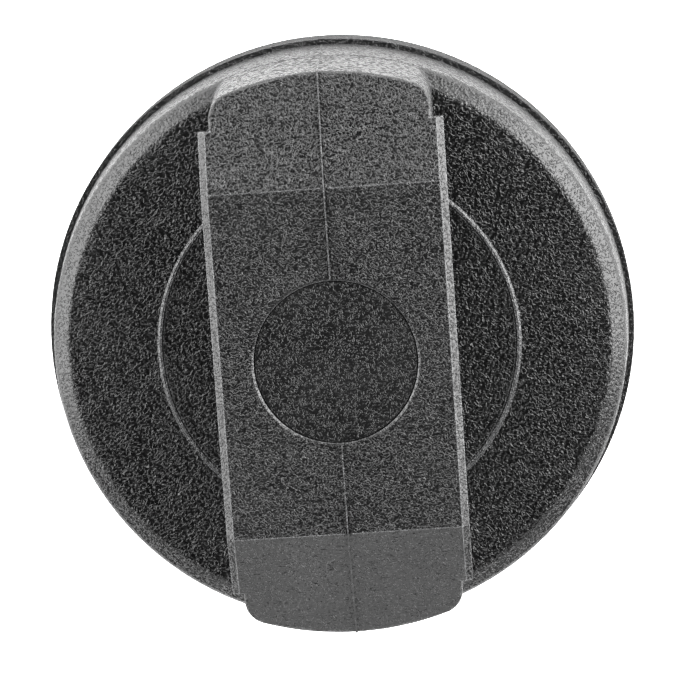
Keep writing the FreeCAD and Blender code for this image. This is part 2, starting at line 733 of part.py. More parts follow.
def make_spring(name, mean_r, wire_r, turns, low, high):
    """Round-wire compression spring between two heights."""
    body = new_body(name)
    rise = "(%s - %s - 2 * %s)" % (high, low, wire_r)
    wire = circle(body, "wire", "XZ_Plane", mean_r, "%s + %s" % (low, wire_r), wire_r)
    helix(body, "coil", wire, "%s / %s" % (rise, turns), rise)
    return body


def make_pressure_plate():
    """Plate that opens when the tank pressure is too high."""
    body = new_body("pressure_plate")
    guide = "sizes.stem_r + sizes.fit_gap"
    lathe(body, "plate", [
        (guide, PLATE_Z),
        ("sizes.plate_r", PLATE_Z),
        ("sizes.plate_r", PLATE_TOP_Z + " + 1"),
        ("sizes.plate_r - 0.8", PLATE_TOP_Z + " + 1"),
        ("sizes.plate_r - 0.8", PLATE_TOP_Z),
        ("sizes.hub_r + 0.5", PLATE_TOP_Z),
        ("sizes.hub_r", PLATE_TOP_Z + " + 0.5"),
        ("sizes.hub_r", HUB_TOP_Z),
        (guide, HUB_TOP_Z),
    ])
    return body


def make_valve_seal():
    body = new_body("valve_seal")
    lathe(body, "washer", [
        ("sizes.stem_r + 0.6", SEAT_Z),
        ("sizes.seal_disc_r", SEAT_Z),
        ("sizes.seal_disc_r", PLATE_Z),
        ("sizes.stem_r + 0.6", PLATE_Z),
    ])
    return body


def make_vacuum_poppet():
    """Small inner valve that opens when the tank draws in air."""
    body = new_body("vacuum_poppet")
    neck = "sizes.stem_r - sizes.clip_groove"
    lathe(body, "poppet", [
        ("0", SEAT_Z + " - sizes.poppet_t"),
        ("sizes.poppet_r - 0.4", SEAT_Z + " - sizes.poppet_t"),
        ("sizes.poppet_r", SEAT_Z + " - sizes.poppet_t + 0.4"),
        ("sizes.poppet_r", SEAT_Z),
        ("sizes.stem_r", SEAT_Z),
        ("sizes.stem_r", CLIP_Z),
        (neck, CLIP_Z),
        (neck, CLIP_TOP_Z),
        ("sizes.stem_r", CLIP_TOP_Z),
        ("sizes.stem_r", "sizes.stem_top_z - 0.2"),
        ("sizes.stem_r - 0.3", "sizes.stem_top_z"),
        ("0", "sizes.stem_top_z"),
    ])
    return body


def make_stem_clip():
    """Open spring clip in the stem's groove."""
    body = new_body("stem_clip")
    neck = "sizes.stem_r - sizes.clip_groove"
    lathe(body, "clip", [
        (neck, CLIP_Z),
        ("sizes.clip_r", CLIP_Z),
        ("sizes.clip_r", CLIP_TOP_Z),
        (neck, CLIP_TOP_Z),
    ])
    mouth = outline(body, "mouth_plan", "XY_Plane", [
        ("0.8", "-0.6"),
        ("sizes.clip_r + 1", "-0.9"),
        ("sizes.clip_r + 1", "0.9"),
        ("0.8", "0.6"),
    ], CLIP_TOP_Z + " + 1")
    extruded(body, "mouth", mouth, "sizes.clip_t + 2", False, "PartDesign::Pocket")
    return body


def make_all():
    parts = [
        make_grip_cover(),
        make_blank_disc(),
        make_tooth_ring(),
        make_retaining_ring(),
        make_spring_washer(),
        make_plug_body(),
        make_plug_lid(),
        make_pawl_ring(),
        make_seal_ring(),
        make_valve_housing(),
        make_housing_o_ring(),
        make_spring_cap(),
        make_splash_guard(),
        make_filter_disc(),
        make_spring("pressure_spring", "sizes.spring_r", "sizes.spring_wire_r", "sizes.spring_turns",
                    PLATE_TOP_Z, CAP_Z),
        make_pressure_plate(),
        make_valve_seal(),
        make_spring("vacuum_spring", "sizes.small_spring_r", "sizes.small_wire_r", "sizes.small_turns",
                    HUB_TOP_Z, CLIP_Z),
        make_vacuum_poppet(),
        make_stem_clip(),
    ]
    doc.recompute()
    return parts


def check(parts):
    """Stop on any feature that failed or any shape that isn't one valid solid."""
    for item in doc.Objects:
        if "Invalid" in item.State or "Error" in item.State:
            raise RuntimeError("feature failed: " + item.Name)
    for part in parts:
        shape = part.Shape
        if shape.isNull() or not shape.isValid() or len(shape.Solids) != 1:
            raise RuntimeError("bad shape: " + part.Label)


def check_cuts():
    """Every pocket and groove takes material away."""
    for item in doc.Objects:
        if item.TypeId in ("PartDesign::Pocket", "PartDesign::Groove"):
            if item.Shape.Volume >= item.BaseFeature.Shape.Volume - 0.01:
                raise RuntimeError("cut removes nothing: " + item.Name)


pieces = make_all()
check(pieces)
check_cuts()
os.makedirs("parts", exist_ok=True)
for piece in pieces:
    piece.Shape.exportStep("parts/" + piece.Label + ".step")
    print(piece.Label, round(piece.Shape.Volume, 1), piece.Shape.BoundBox)
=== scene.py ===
"""Finished look of a ratcheting fuel filler cap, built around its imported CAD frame.

Metres, in the frame of the CAD part: z = 0 is the seal plane, +Z points to the hand and the
grip bar runs along Y.
"""

import logging
import math
from dataclasses import dataclass
from enum import Enum
from typing import Sequence

import bpy
from mathutils import Matrix, Vector


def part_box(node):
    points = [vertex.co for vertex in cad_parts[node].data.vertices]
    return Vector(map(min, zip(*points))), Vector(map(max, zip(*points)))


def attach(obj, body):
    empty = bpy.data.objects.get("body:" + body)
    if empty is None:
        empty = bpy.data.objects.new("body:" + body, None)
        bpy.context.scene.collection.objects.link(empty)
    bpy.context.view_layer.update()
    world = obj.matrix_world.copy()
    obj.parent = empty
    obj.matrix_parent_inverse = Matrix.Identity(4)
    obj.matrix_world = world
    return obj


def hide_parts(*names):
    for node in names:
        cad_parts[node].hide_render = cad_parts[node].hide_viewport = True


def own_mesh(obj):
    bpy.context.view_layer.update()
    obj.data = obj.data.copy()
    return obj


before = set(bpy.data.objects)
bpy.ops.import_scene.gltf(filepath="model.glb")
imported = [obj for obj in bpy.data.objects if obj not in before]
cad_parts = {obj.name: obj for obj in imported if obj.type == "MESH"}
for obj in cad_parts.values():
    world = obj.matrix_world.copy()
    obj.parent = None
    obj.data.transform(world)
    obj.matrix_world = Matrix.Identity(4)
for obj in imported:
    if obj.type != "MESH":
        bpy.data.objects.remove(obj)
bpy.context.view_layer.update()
LOG: logging.Logger = logging.getLogger("filler_cap")
MM: float = 0.001
SMOOTH_ANGLE: float = math.radians(50)
SENSOR_WIDTH: float = 36.0

Colour = tuple[float, float, float]
Paint = tuple[float, float, float, float]
Span = tuple[float, float]
WHITE: Colour = (1.0, 1.0, 1.0)
Socket = bpy.types.NodeSocket
Outputs = bpy.types.bpy_prop_collection


class Body(Enum):
    """Rigid bodies that carry a spring."""

    PLUG = "plug"
    PRESSURE_VALVE = "pressure_valve"


# ---------------------------------------------------------------- node helpers


@dataclass
class NodeSheet:
    """Thin wrapper that places nodes in one tree and joins them.

    Attributes:
        tree: The node tree being filled.
        column: Running place of the next node, for a readable layout.
    """

    tree: bpy.types.NodeTree
    column: int = 0

    def add(self, kind: str, **settings: object) -> bpy.types.Node:
        """Place a node.

        Args:
            kind: Blender's node type.
            settings: Properties to set on the node.

        Returns:
            The new node.
        """
        node = self.tree.nodes.new(kind)
        for name, value in settings.items():
            setattr(node, name, value)
        node.location = (180 * self.column, -60 * (self.column % 5))
        self.column += 1
        return node

    def feed(self, socket: Socket, value: object) -> None:
        """Link a socket to an input, or set the input's own value.

        Args:
            socket: The input to fill.
            value: An output socket, a number or a tuple.
        """
        if isinstance(value, bpy.types.NodeSocket):
            self.tree.links.new(value, socket)
        else:
            socket.default_value = value

    def math(self, operation: str, *values: object, clamp: bool = False) -> Socket:
        """Place a Math node.

        Args:
            operation: Blender's name of the operation.
            values: Sockets or numbers, in the node's order.
            clamp: Whether the result is kept between 0 and 1.

        Returns:
            The node's output.
        """
        node = self.add("ShaderNodeMath", operation=operation, use_clamp=clamp)
        for index, value in enumerate(values):
            self.feed(node.inputs[index], value)
        return node.outputs[0]

    def times(self, first: Socket, *others: object) -> Socket:
        """Multiply values.

        Args:
            first: The first value.
            others: Sockets or numbers to multiply it by, in order.

        Returns:
            The product.
        """
        for other in others:
            first = self.math("MULTIPLY", first, other)
        return first

    def ramp(self, value: Socket, low: float, high: float, out_low: float = 0.0,
             out_high: float = 1.0) -> Socket:
        """Smoothly map a value from one range to another.

        Args:
            value: The value to map.
            low: Input at which the output is out_low.
            high: Input at which the output is out_high.
            out_low: Output at low.
            out_high: Output at high.

        Returns:
            The mapped value.
        """
        node = self.add("ShaderNodeMapRange", interpolation_type="SMOOTHSTEP")
        for index, number in enumerate((value, low, high, out_low, out_high)):
            self.feed(node.inputs[index], number)
        return node.outputs[0]

    def mix(self, factor: object, first: object, second: object) -> Socket:
        """Mix two colours.

        Args:
            factor: Share of the second colour.
            first: The first colour, a socket or a tuple.
            second: The second one.

        Returns:
            The mixed colour.
        """
        node = self.add("ShaderNodeMix", data_type="RGBA")
        self.feed(node.inputs[0], factor)
        self.feed(node.inputs[6], first)
        self.feed(node.inputs[7], second)
        return node.outputs[2]

    def noise(self, vector: Socket, scale: object, detail: float = 2.0,
              roughness: float = 0.5) -> Socket:
        """Place a Noise Texture.

        Args:
            vector: Where to read it.
            scale: Its scale, in cycles per metre.
            detail: Octaves added to the first.
            roughness: Strength of each octave against the one before.

        Returns:
            Its value, around a half.
        """
        node = self.add("ShaderNodeTexNoise")
        self.feed(node.inputs["Vector"], vector)
        self.feed(node.inputs["Scale"], scale)
        self.feed(node.inputs["Detail"], detail)
        self.feed(node.inputs["Roughness"], roughness)
        return node.outputs["Fac"]


def new_group(name: str, inputs: Sequence[tuple[str, str, object]],
              outputs: Sequence[tuple[str, str]]) -> tuple[bpy.types.NodeTree, NodeSheet]:
    """Start a shader node group with named sockets.

    Args:
        name: The group's name.
        inputs: Name, socket type and default value of each input.
        outputs: Name and socket type of each output.

    Returns:
        The group and a sheet to fill it with.
    """
    tree = bpy.data.node_groups.new(name, "ShaderNodeTree")
    for label, kind, value in inputs:
        socket = tree.interface.new_socket(label, in_out="INPUT", socket_type=kind)
        if value is not None:
            socket.default_value = value
    for label, kind in outputs:
        tree.interface.new_socket(label, in_out="OUTPUT", socket_type=kind)
    return tree, NodeSheet(tree)


FLOAT: str = "NodeSocketFloat"
VECTOR: str = "NodeSocketVector"


class GrainShape:
    """Where the parts of the mould grain's pattern start and end, and their shares of its height."""

    DOME: Span = (0.15, 0.75)
    RIDGE: Span = (0.0, 0.11)
    GAPS: Span = (0.36, 0.58)
    STROKE: Span = (0.01, 0.06)
    BREAKS: Span = (0.40, 0.60)
    CLOUD: Span = (0.3, 0.7)
    PITS: Span = (0.0, 0.4)
    FINE_SHARE: float = 0.05
    DOME_SHARE: float = 0.4


class Facing:
    """Spans of the normal's Z over which a surface counts as one kind and not the next.

    NEAR is a span of the normal's Y, which tells the near slope from the far one.
    """

    WALL: Span = (0.35, 0.6)
    BEVEL_START: Span = (0.4, 0.5)
    RING: Span = (0.5, 0.7)
    FACE: Span = (0.86, 0.93)
    BEVEL_END: Span = (0.87, 0.90)
    SLOPE_START: Span = (0.90, 0.93)
    SLOPE_END: Span = (0.95, 0.97)
    LEVEL: Span = (0.97, 0.995)
    NEAR: Span = (-0.3, -0.2)


class Reach:
    """Spans of distance, in metres, over which a zone or a line of the cover fades."""

    FACE_EDGE: Span = (-0.0003, 0.0002)
    FACE_TOP: Span = (0.0, 0.0002)
    BAR_TOP: Span = (-0.002, 0.0)
    BAR_FOOT: Span = (0.004, 0.006)
    RING: Span = (-0.0004, 0.0)
    RIM: Span = (-0.0001, 0.0001)
    SEAM: Span = (0.00004, 0.00012)
    SEAM_SIDE: Span = (0.0004, 0.0006)
    SEAM_STOP: Span = (0.0110, 0.0113)
    WITNESS: Span = (0.00012, 0.00024)
    MOUTH: Span = (0.00002, 0.00008)
    MOUTH_SIDE: Span = (0.0005, 0.0007)


class Lines:
    """How strongly the painted highlights on the raised lines show, and where they break up."""

    MOUTH: float = 0.7
    WITNESS: float = 0.55
    LOW_SEAM_LOSS: float = 0.8
    FAINTEST: float = 0.25
    BREAKS: Span = (0.35, 0.6)


class Effects:
    """Shader node groups that several finishes share, each built once."""

    def __init__(self) -> None:
        """Build every group."""
        self.grain = self._grain()
        self.zones = self._zones()
        self.wear_and_highlight = self._wear_and_highlight()
        self.dust = self._dust()
        self.drawn = self._drawn()
        self.weave = self._weave()

    @staticmethod
    def _grain() -> bpy.types.NodeTree:
        """Etched mould grain: short raised folds between low domes.

        Returns:
            The group. Height is in millimetres; the other two outputs are masks: thin strokes along the
            folds, which the finishes paint pale as painted glints, and the pits between the domes.
        """
        tree, sheet = new_group("MouldGrain", [
            ("Vector", VECTOR, None), ("Size mm", FLOAT, 0.5), ("Unevenness", FLOAT, 0.35),
        ], [("Height", FLOAT), ("Painted glints", FLOAT), ("Pits", FLOAT)])
        given = sheet.add("NodeGroupInput")
        out = sheet.add("NodeGroupOutput")
        place, size = given.outputs["Vector"], given.outputs["Size mm"]
        scale = sheet.math("DIVIDE", 1.0 / MM, size)

        def finer(times: float) -> Socket:
            """Scale of a pattern that is some times finer than the grain."""
            return sheet.times(scale, times)

        warp = sheet.add("ShaderNodeTexNoise")
        sheet.feed(warp.inputs["Vector"], place)
        sheet.feed(warp.inputs["Scale"], finer(0.6))
        sheet.feed(warp.inputs["Detail"], 2.0)
        push = sheet.add("ShaderNodeVectorMath", operation="SCALE")
        sheet.feed(push.inputs[0], warp.outputs["Color"])
        sheet.feed(push.inputs["Scale"], sheet.times(size, given.outputs["Unevenness"]))
        shrink = sheet.add("ShaderNodeVectorMath", operation="SCALE")
        sheet.feed(shrink.inputs[0], push.outputs[0])
        sheet.feed(shrink.inputs["Scale"], MM)
        moved = sheet.add("ShaderNodeVectorMath", operation="ADD")
        sheet.feed(moved.inputs[0], place)
        sheet.feed(moved.inputs[1], shrink.outputs[0])
        cells = sheet.add("ShaderNodeTexVoronoi", feature="SMOOTH_F1")
        sheet.feed(cells.inputs["Vector"], moved.outputs[0])
        sheet.feed(cells.inputs["Scale"], scale)
        sheet.feed(cells.inputs["Smoothness"], 0.35)
        dome = sheet.ramp(cells.outputs["Distance"], *GrainShape.DOME, 1.0, 0.0)
        fine = sheet.noise(moved.outputs[0], finer(2.6), 3.0, 0.6)
        folds = sheet.noise(moved.outputs[0], finer(1.1), 0.0, 0.5)
        level = sheet.math("ABSOLUTE", sheet.math("SUBTRACT", folds, 0.5))
        gaps = sheet.ramp(sheet.noise(place, finer(1.15), 0.0), *GrainShape.GAPS)
        ridge = sheet.times(sheet.ramp(level, *GrainShape.RIDGE, 1.0, 0.0), gaps)
        low = sheet.math("MULTIPLY_ADD", fine, GrainShape.FINE_SHARE,
                         sheet.times(dome, GrainShape.DOME_SHARE))
        sheet.feed(out.inputs["Height"], sheet.times(sheet.math("ADD", ridge, low), size))
        # Strokes along the folds, broken up and thinned in clouds, that the finishes paint pale as painted
        # glints of light off the grain.
        stroke = sheet.ramp(level, *GrainShape.STROKE, 1.0, 0.0)
        broken = sheet.ramp(sheet.noise(place, finer(0.7), 1.0), *GrainShape.BREAKS)
        cloud = sheet.ramp(sheet.noise(place, 160.0, 3.0, 0.6), *GrainShape.CLOUD, 0.45, 1.0)
        sheet.feed(out.inputs["Painted glints"], sheet.times(stroke, broken, cloud))
        # The pits, which the cover paints darker as painted shade.
        sheet.feed(out.inputs["Pits"], sheet.ramp(dome, *GrainShape.PITS, 1.0, 0.0))
        return tree

    @staticmethod
    def _zones() -> bpy.types.NodeTree:
        """Masks of the cover's surfaces and of the raised lines on them, where the cover paints highlights.

        Returns:
            The group. Radii and heights are in metres.
        """
        tree, sheet = new_group("CoverZones", [
            ("Vector", VECTOR, None), ("Normal", VECTOR, None), ("Face radius", FLOAT, 0.0377),
            ("Face height", FLOAT, 0.0115), ("Bar height", FLOAT, 0.0213),
            ("Witness radius", FLOAT, 0.0249), ("Mouth radius", FLOAT, 0.01114),
        ], [("Face", FLOAT), ("Bar top", FLOAT), ("Slope", FLOAT), ("Wall", FLOAT), ("Seam", FLOAT),
            ("Smooth", FLOAT), ("Rim", FLOAT), ("Off seam", FLOAT)])
        given = sheet.add("NodeGroupInput")
        out = sheet.add("NodeGroupOutput")
        place = sheet.add("ShaderNodeSeparateXYZ")
        sheet.feed(place.inputs[0], given.outputs["Vector"])
        turn = sheet.add("ShaderNodeSeparateXYZ")
        sheet.feed(turn.inputs[0], given.outputs["Normal"])
        across, along, up = place.outputs
        facing = turn.outputs[2]
        square = sheet.math("ADD", sheet.math("POWER", across, 2.0), sheet.math("POWER", along, 2.0))
        radius = sheet.math("SQRT", square)
        from_middle = sheet.math("ABSOLUTE", across)

        # face and the chamfered ring round it
        inside = sheet.math("SUBTRACT", given.outputs["Face radius"], radius)
        ragged = sheet.math("MULTIPLY_ADD", sheet.noise(given.outputs["Vector"], 1400.0, 1.0),
                            1.6 * MM, -0.8 * MM)
        low = sheet.math("SUBTRACT", sheet.math("ADD", given.outputs["Face height"], 0.8 * MM), up)
        below = sheet.ramp(low, *Reach.FACE_TOP)
        face = sheet.times(sheet.ramp(sheet.math("ADD", inside, ragged), *Reach.FACE_EDGE), below,
                           sheet.ramp(facing, *Facing.FACE))
        ring = sheet.times(sheet.ramp(inside, *Reach.RING, 1.0, 0.0), sheet.ramp(facing, *Facing.RING))
        sheet.feed(out.inputs["Face"], face)
        sheet.feed(out.inputs["Wall"], sheet.ramp(facing, *Facing.WALL, 1.0, 0.0))
        sheet.feed(out.inputs["Rim"], sheet.ramp(up, *Reach.RIM, 1.0, 0.0))

        # bar: level top and both slopes
        high = sheet.ramp(sheet.math("SUBTRACT", up, given.outputs["Bar height"]), *Reach.BAR_TOP)
        above = sheet.ramp(sheet.math("SUBTRACT", up, given.outputs["Face height"]), *Reach.BAR_FOOT)
        tilted = sheet.times(sheet.ramp(facing, *Facing.SLOPE_START),
                             sheet.ramp(facing, *Facing.SLOPE_END, 1.0, 0.0))
        low_end = sheet.times(tilted, sheet.ramp(turn.outputs[1], *Facing.NEAR, 1.0, 0.0))
        sheet.feed(out.inputs["Bar top"], sheet.times(high, sheet.ramp(facing, *Facing.LEVEL)))
        sheet.feed(out.inputs["Slope"], sheet.times(tilted, above))

        # raised lines: mould seam, witness ring and mouth of the recess, masked for painted highlights
        from_mouth = sheet.math("SUBTRACT", radius, given.outputs["Mouth radius"])
        from_mouth = sheet.math("ABSOLUTE", from_mouth)
        from_ring = sheet.math("SUBTRACT", radius, given.outputs["Witness radius"])
        from_ring = sheet.math("ABSOLUTE", from_ring)
        seam = sheet.times(sheet.ramp(from_middle, *Reach.SEAM, 1.0, 0.0),
                           sheet.ramp(radius, *Reach.SEAM_STOP),
                           sheet.math("MULTIPLY_ADD", low_end, -Lines.LOW_SEAM_LOSS, 1.0), above)
        mouth = sheet.times(sheet.ramp(from_mouth, *Reach.MOUTH, Lines.MOUTH, 0.0), high)
        witness = sheet.times(sheet.ramp(from_ring, *Reach.WITNESS, Lines.WITNESS, 0.0), below)
        uneven = sheet.ramp(sheet.noise(given.outputs["Vector"], 900.0, 3.0, 0.7), *Lines.BREAKS,
                            Lines.FAINTEST, 1.0)
        lines = sheet.math("MAXIMUM", seam, sheet.math("MAXIMUM", witness, mouth))
        sheet.feed(out.inputs["Seam"], sheet.times(lines, uneven))
        off_seam = sheet.times(sheet.ramp(from_middle, *Reach.SEAM_SIDE),
                               sheet.ramp(from_mouth, *Reach.MOUTH_SIDE))
        sheet.feed(out.inputs["Off seam"], off_seam)

        # nearly smooth: ring, lower slope and bevels
        bevel = sheet.times(sheet.ramp(facing, *Facing.BEVEL_END, 1.0, 0.0),
                            sheet.ramp(facing, *Facing.BEVEL_START))
        ring_only = sheet.math("SUBTRACT", ring, above)
        plain = sheet.math("MAXIMUM", sheet.times(low_end, above), ring_only, clamp=True)
        sheet.feed(out.inputs["Smooth"], sheet.math("MAXIMUM", plain, bevel))
        return tree

    @staticmethod
    def _wear_and_highlight() -> bpy.types.NodeTree:
        """Edges paler from rubbing by hands and, on the cover, from a painted edge highlight, found from
        the angle between smooth and rounded normals.

        Returns:
            The group, with its mask.
        """
        tree, sheet = new_group("EdgeWearAndHighlight", [
            ("Vector", VECTOR, None), ("Rounded normal", VECTOR, None), ("Normal", VECTOR, None),
            ("Start", FLOAT, 0.02), ("Reach", FLOAT, 0.08), ("Patch scale", FLOAT, 260.0),
        ], [("Wear and highlight", FLOAT)])
        given = sheet.add("NodeGroupInput")
        out = sheet.add("NodeGroupOutput")
        dot = sheet.add("ShaderNodeVectorMath", operation="DOT_PRODUCT")
        sheet.feed(dot.inputs[0], given.outputs["Rounded normal"])
        sheet.feed(dot.inputs[1], given.outputs["Normal"])
        bend = sheet.math("SUBTRACT", 1.0, dot.outputs["Value"])
        edge = sheet.ramp(bend, given.outputs["Start"], given.outputs["Reach"])
        patch = sheet.noise(given.outputs["Vector"], given.outputs["Patch scale"], 4.0, 0.6)
        sheet.feed(out.inputs["Wear and highlight"], sheet.times(edge, sheet.ramp(patch, 0.25, 0.5)))
        return tree

    @staticmethod
    def _dust() -> bpy.types.NodeTree:
        """Fine dust and handling marks that lie on surfaces facing up.

        Returns:
            The group, with a mask of specks and one of smudges.
        """
        tree, sheet = new_group("Dust", [
            ("Vector", VECTOR, None), ("Normal", VECTOR, None), ("Amount", FLOAT, 0.3),
        ], [("Dust", FLOAT), ("Smudge", FLOAT)])
        given = sheet.add("NodeGroupInput")
        out = sheet.add("NodeGroupOutput")
        turn = sheet.add("ShaderNodeSeparateXYZ")
        sheet.feed(turn.inputs[0], given.outputs["Normal"])
        specks = sheet.noise(given.outputs["Vector"], 5200.0, 2.0, 0.7)
        cloud = sheet.noise(given.outputs["Vector"], 90.0, 5.0, 0.65)
        grains = sheet.ramp(specks, 0.63, 0.72)
        laid = sheet.times(sheet.ramp(turn.outputs[2], 0.1, 0.9), sheet.ramp(cloud, 0.4, 0.7))
        sheet.feed(out.inputs["Dust"], sheet.times(grains, laid, given.outputs["Amount"]))
        sheet.feed(out.inputs["Smudge"], sheet.ramp(cloud, 0.3, 0.7))
        return tree

    @staticmethod
    def _drawn() -> bpy.types.NodeTree:
        """Fine lines and stain of drawn or stamped steel.

        Returns:
            The group, with a height of lines and a mask of stain.
        """
        tree, sheet = new_group("DrawnSteel", [
            ("Vector", VECTOR, None), ("Line scale", FLOAT, 2400.0),
        ], [("Lines", FLOAT), ("Stain", FLOAT)])
        given = sheet.add("NodeGroupInput")
        out = sheet.add("NodeGroupOutput")
        stretch = sheet.add("ShaderNodeVectorMath", operation="MULTIPLY")
        sheet.feed(stretch.inputs[0], given.outputs["Vector"])
        sheet.feed(stretch.inputs[1], (0.2, 0.2, 2.0))
        lines = sheet.noise(stretch.outputs[0], given.outputs["Line scale"], 3.0, 0.7)
        stain = sheet.noise(given.outputs["Vector"], 210.0, 4.0)
        sheet.feed(out.inputs["Lines"], lines)
        sheet.feed(out.inputs["Stain"], sheet.ramp(stain, 0.4, 0.7))
        return tree

    @staticmethod
    def _weave() -> bpy.types.NodeTree:
        """Square mesh of crossing wires.

        Returns:
            The group, with the wires' height and a mask of the gaps.
        """
        tree, sheet = new_group("WireWeave", [
            ("Vector", VECTOR, None), ("Pitch mm", FLOAT, 0.5),
        ], [("Height", FLOAT), ("Gaps", FLOAT)])
        given = sheet.add("NodeGroupInput")
        out = sheet.add("NodeGroupOutput")
        place = sheet.add("ShaderNodeSeparateXYZ")
        sheet.feed(place.inputs[0], given.outputs["Vector"])
        rate = sheet.math("DIVIDE", math.pi / MM, given.outputs["Pitch mm"])
        waves = [sheet.math("SINE", sheet.times(side, rate)) for side in place.outputs[:2]]
        ridges = [sheet.math("ABSOLUTE", wave) for wave in waves]
        height = sheet.math("MAXIMUM", *ridges)
        sheet.feed(out.inputs["Height"], height)
        sheet.feed(out.inputs["Gaps"], sheet.ramp(height, 0.35, 0.6, 1.0, 0.0))
        return tree


# ------------------------------------------------------------------- finishes


def rgba(colour: Colour, share: float = 1.0) -> Paint:
    """Opaque paint, darkened to a share of the colour."""
    return (*(share * part for part in colour), 1.0)


@dataclass(frozen=True)
class Finish:
    """Base of every finish.

    Attributes:
        name: Name of the material.
        colour: Main colour, linear.
        rough: Roughness of the plain surface.
    """

    name: str
    colour: Colour
    rough: float

    def start(self) -> tuple[bpy.types.Material, NodeSheet, bpy.types.Node]:
        """Make the material and its shader.

        Returns:
            The material, a sheet on its tree and the Principled node.
        """
        material = bpy.data.materials.new(self.name)
        material.use_nodes = True
        tree = material.node_tree
        tree.nodes.clear()
        sheet = NodeSheet(tree)
        shader = sheet.add("ShaderNodeBsdfPrincipled")
        output = sheet.add("ShaderNodeOutputMaterial")
        tree.links.new(shader.outputs[0], output.inputs[0])
        shader.inputs["Base Color"].default_value = rgba(self.colour)
        shader.inputs["Roughness"].default_value = self.rough
        return material, sheet, shader

    def build(self, effects: Effects) -> bpy.types.Material:
        """Make the material.

        Args:
            effects: The shared node groups.

        Returns:
            The finished material.
        """
        raise NotImplementedError

    @staticmethod
    def use(sheet: NodeSheet, group: bpy.types.NodeTree, **inputs: object) -> bpy.types.Node:
        """Place a shared group.

        Args:
            sheet: The material's sheet.
            group: The node group.
            inputs: Values of its inputs; underscores in names stand for spaces.

        Returns:
            The group's node.
        """
        node = sheet.add("ShaderNodeGroup", node_tree=group)
        for name, value in inputs.items():
            sheet.feed(node.inputs[name.replace("_", " ")], value)
        return node

    @staticmethod
    def surface(sheet: NodeSheet) -> tuple[Socket, Socket]:
        """Read the place and the normal of the surface, both without the bump."""
        place = sheet.add("ShaderNodeTexCoord").outputs["Object"]
        return place, sheet.add("ShaderNodeNewGeometry").outputs["Normal"]

    def wear_and_edge_highlight(self, sheet: NodeSheet, effects: Effects, place: Socket, normal: Socket,
                     radius: float) -> Socket:
        """Find the edges that hands rub, which the cover also paints pale as a painted edge highlight.

        Args:
            sheet: The material's sheet.
            effects: The shared node groups.
            place: Object coordinates.
            normal: The surface's normal.
            radius: How far round an edge to look, mm.

        Returns:
            A mask of the edges.
        """
        rounded = sheet.add("ShaderNodeBevel", samples=2)
        rounded.inputs["Radius"].default_value = radius * MM
        wear_and_highlight = self.use(sheet, effects.wear_and_highlight, Vector=place, Rounded_normal=rounded.outputs[0],
                        Normal=normal)
        return wear_and_highlight.outputs["Wear and highlight"]

    @staticmethod
    def bump(sheet: NodeSheet, shader: bpy.types.Node, height: Socket, strength: float,
             depth: float) -> None:
        """Drive the shader's normal from a height.

        Args:
            sheet: The material's sheet.
            shader: The Principled node.
            height: The height, in parts of the depth.
            strength: How strongly it shows.
            depth: Depth of the relief, mm.
        """
        node = sheet.add("ShaderNodeBump")
        node.inputs["Distance"].default_value = depth * MM
        sheet.feed(node.inputs["Strength"], strength)
        sheet.feed(node.inputs["Height"], height)
        sheet.feed(shader.inputs["Normal"], node.outputs[0])


